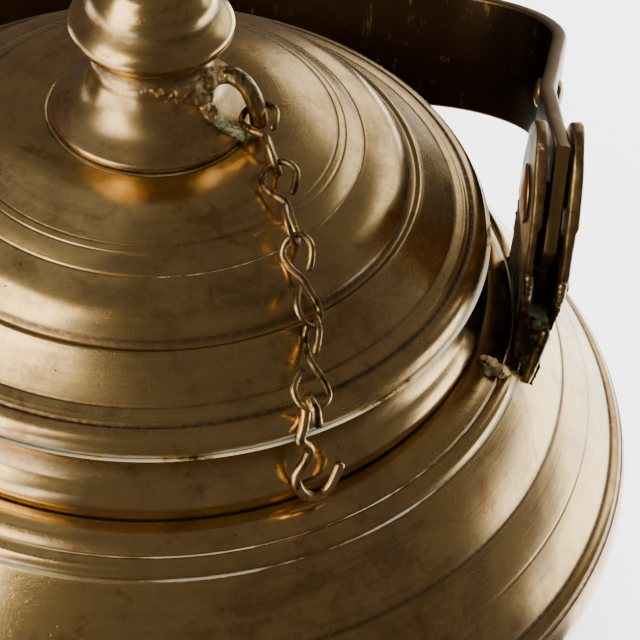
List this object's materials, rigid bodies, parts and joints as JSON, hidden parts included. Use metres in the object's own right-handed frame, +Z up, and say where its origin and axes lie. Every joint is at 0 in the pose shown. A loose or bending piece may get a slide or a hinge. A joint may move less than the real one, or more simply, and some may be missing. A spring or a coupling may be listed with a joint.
{
  "type": "tea kettle",
  "caption": "Round brass kettle with a curved spout, a lift-off domed lid with its own chain and hook, and a flat strap handle that swings between two ears.",
  "frame": {"origin": "centre of the flat underside of the base, on the surface the kettle stands on", "axes": "+Z up; +X towards the right ear, with the spout towards -X in line with the ears; -Y towards the viewer of the picture, so the strap handle has fallen back towards +Y"},
  "size_m": [0.3266, 0.247, 0.2218],
  "materials": {
    "aged_brass": "aged, softly polished, with brown patina",
    "pale_brass": "worn bright",
    "dark_brass": "dull and tarnished dark",
    "verdigris_brass": "tarnished, with grey-green deposits"
  },
  "bodies": {
    "kettle": {"base_plate": "dark_brass", "body_lower": "aged_brass", "body_upper": "aged_brass", "mouth_collar": "aged_brass", "spout": "aged_brass", "spout_flange": "dark_brass", "spout_lip": "aged_brass", "ear_foot_right": "verdigris_brass", "ear_foot_left": "verdigris_brass", "ear_inner_plate_right": "aged_brass", "ear_inner_plate_left": "aged_brass", "ear_outer_plate_right": "aged_brass", "ear_outer_plate_left": "aged_brass", "ear_pin_right": "pale_brass", "ear_pin_left": "pale_brass"},
    "bail": {"bail_strap": "aged_brass", "bail_rivet_right": "pale_brass", "bail_rivet_left": "pale_brass"},
    "lid": {"lid_dome": "aged_brass", "lid_skirt": "dark_brass", "knob": "aged_brass", "knob_stud": "dark_brass", "knob_washer": "dark_brass", "chain_eye": "verdigris_brass"},
    "link_1": {"chain_link_1": "pale_brass"},
    "link_2": {"chain_link_2": "pale_brass"},
    "link_3": {"chain_link_3": "pale_brass"},
    "link_4": {"chain_link_4": "pale_brass"},
    "hook": {"chain_hook": "pale_brass"}
  },
  "joints": [
    {"name": "bail_swing", "type": "hinge", "parent": "kettle", "child": "bail", "pos_m": [0, 0, 0.1528], "axis": [1, 0, 0], "range_deg": [0, 219]},
    {"name": "lid_lift", "type": "slide", "parent": "kettle", "child": "lid", "axis": [0, 0, 1], "range_m": [0, 0.045]},
    {"name": "link_1_swing", "type": "hinge", "parent": "lid", "child": "link_1", "pos_m": [0.0247, -0.00616, 0.17636], "axis": [-0.7187, -0.3105, 0.6222], "range_deg": [0, 40]},
    {"name": "link_2_swing", "type": "hinge", "parent": "link_1", "child": "link_2", "pos_m": [0.02988, -0.02252, 0.17419], "axis": [-0.8186, -0.3977, 0.4144], "range_deg": [0, 40]},
    {"name": "link_3_swing", "type": "hinge", "parent": "link_2", "child": "link_3", "pos_m": [0.03484, -0.03938, 0.1678], "axis": [-0.8653, -0.4365, 0.2464], "range_deg": [0, 40]},
    {"name": "link_4_swing", "type": "hinge", "parent": "link_3", "child": "link_4", "pos_m": [0.03948, -0.05434, 0.1576], "axis": [-0.9091, -0.2378, 0.342], "range_deg": [0, 40]},
    {"name": "hook_swing", "type": "hinge", "parent": "link_4", "child": "hook", "pos_m": [0.04027, -0.07059, 0.14838], "axis": [-0.8686, -0.4955, 0], "range_deg": [0, 40]}
  ]
}
